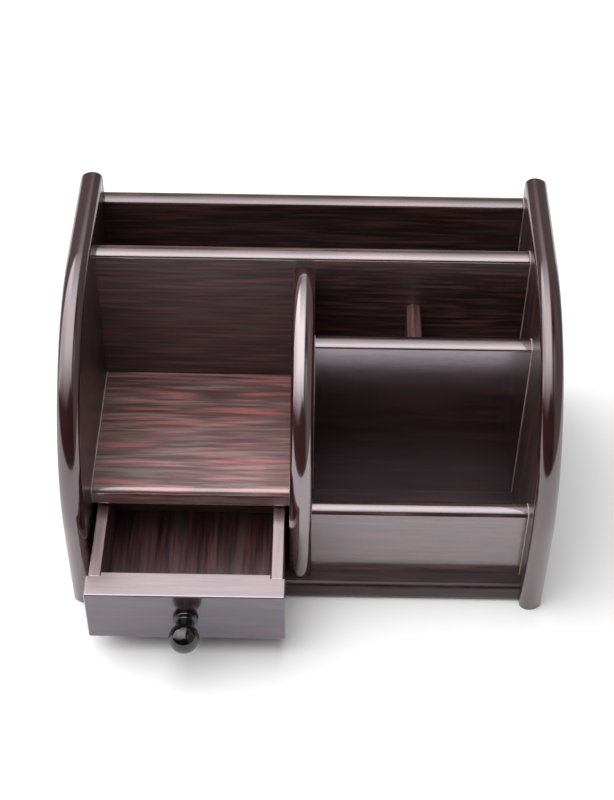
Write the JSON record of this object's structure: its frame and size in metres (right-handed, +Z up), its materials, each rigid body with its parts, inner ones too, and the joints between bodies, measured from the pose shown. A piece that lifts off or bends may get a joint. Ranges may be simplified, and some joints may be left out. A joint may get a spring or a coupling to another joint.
{
  "type": "pen stand with drawer",
  "caption": "Wooden desk stand with pen cells, a letter compartment, a card tray, an open shelf and a small sliding drawer with a ball knob.",
  "frame": {"origin": "middle of the carcass's footprint, on the surface that the stand rests on", "axes": "+X to the right seen from the front, +Y from the front to the back, +Z up"},
  "size_m": [0.2486, 0.2179, 0.158],
  "materials": {
    "rosewood_lacquered": "dark rosewood grain under gloss lacquer",
    "drawer_wood": "dark rosewood grain under satin lacquer",
    "knob_black": "polished black",
    "insert_brass": "turned",
    "screw_steel": "zinc-plated",
    "dowel_beech": "unfinished"
  },
  "bodies": {
    "stand": {"left_side_panel": "rosewood_lacquered", "right_side_panel": "rosewood_lacquered", "middle_divider": "rosewood_lacquered", "base_board": "rosewood_lacquered", "drawer_shelf": "rosewood_lacquered", "back_panel": "rosewood_lacquered", "letter_panel": "rosewood_lacquered", "pen_front_panel": "rosewood_lacquered", "card_front_panel": "rosewood_lacquered", "pen_divider": "rosewood_lacquered", "left_base_dowel_1": "dowel_beech", "left_base_dowel_2": "dowel_beech", "left_shelf_dowel_1": "dowel_beech", "left_shelf_dowel_2": "dowel_beech", "left_back_dowel_1": "dowel_beech", "left_back_dowel_2": "dowel_beech", "left_letter_dowel_1": "dowel_beech", "left_letter_dowel_2": "dowel_beech", "right_base_dowel_1": "dowel_beech", "right_base_dowel_2": "dowel_beech", "right_back_dowel_1": "dowel_beech", "right_back_dowel_2": "dowel_beech", "right_letter_dowel_1": "dowel_beech", "right_letter_dowel_2": "dowel_beech", "right_pen_dowel_1": "dowel_beech", "right_pen_dowel_2": "dowel_beech", "right_card_dowel_1": "dowel_beech", "right_card_dowel_2": "dowel_beech", "divider_shelf_dowel_1": "dowel_beech", "divider_shelf_dowel_2": "dowel_beech", "divider_pen_dowel_1": "dowel_beech", "divider_pen_dowel_2": "dowel_beech", "divider_card_dowel_1": "dowel_beech", "divider_card_dowel_2": "dowel_beech", "divider_foot_dowel_1": "dowel_beech", "divider_foot_dowel_2": "dowel_beech"},
    "drawer": {"drawer_front": "rosewood_lacquered", "drawer_inner_front": "drawer_wood", "drawer_left_side": "drawer_wood", "drawer_right_side": "drawer_wood", "drawer_back": "drawer_wood", "drawer_bottom": "drawer_wood", "knob": "knob_black", "knob_insert": "insert_brass", "knob_screw": "screw_steel"}
  },
  "joints": [
    {"name": "drawer_slide", "type": "slide", "parent": "stand", "child": "drawer", "axis": [0, -1, 0], "range_m": [-0.0572, 0.0155]}
  ]
}
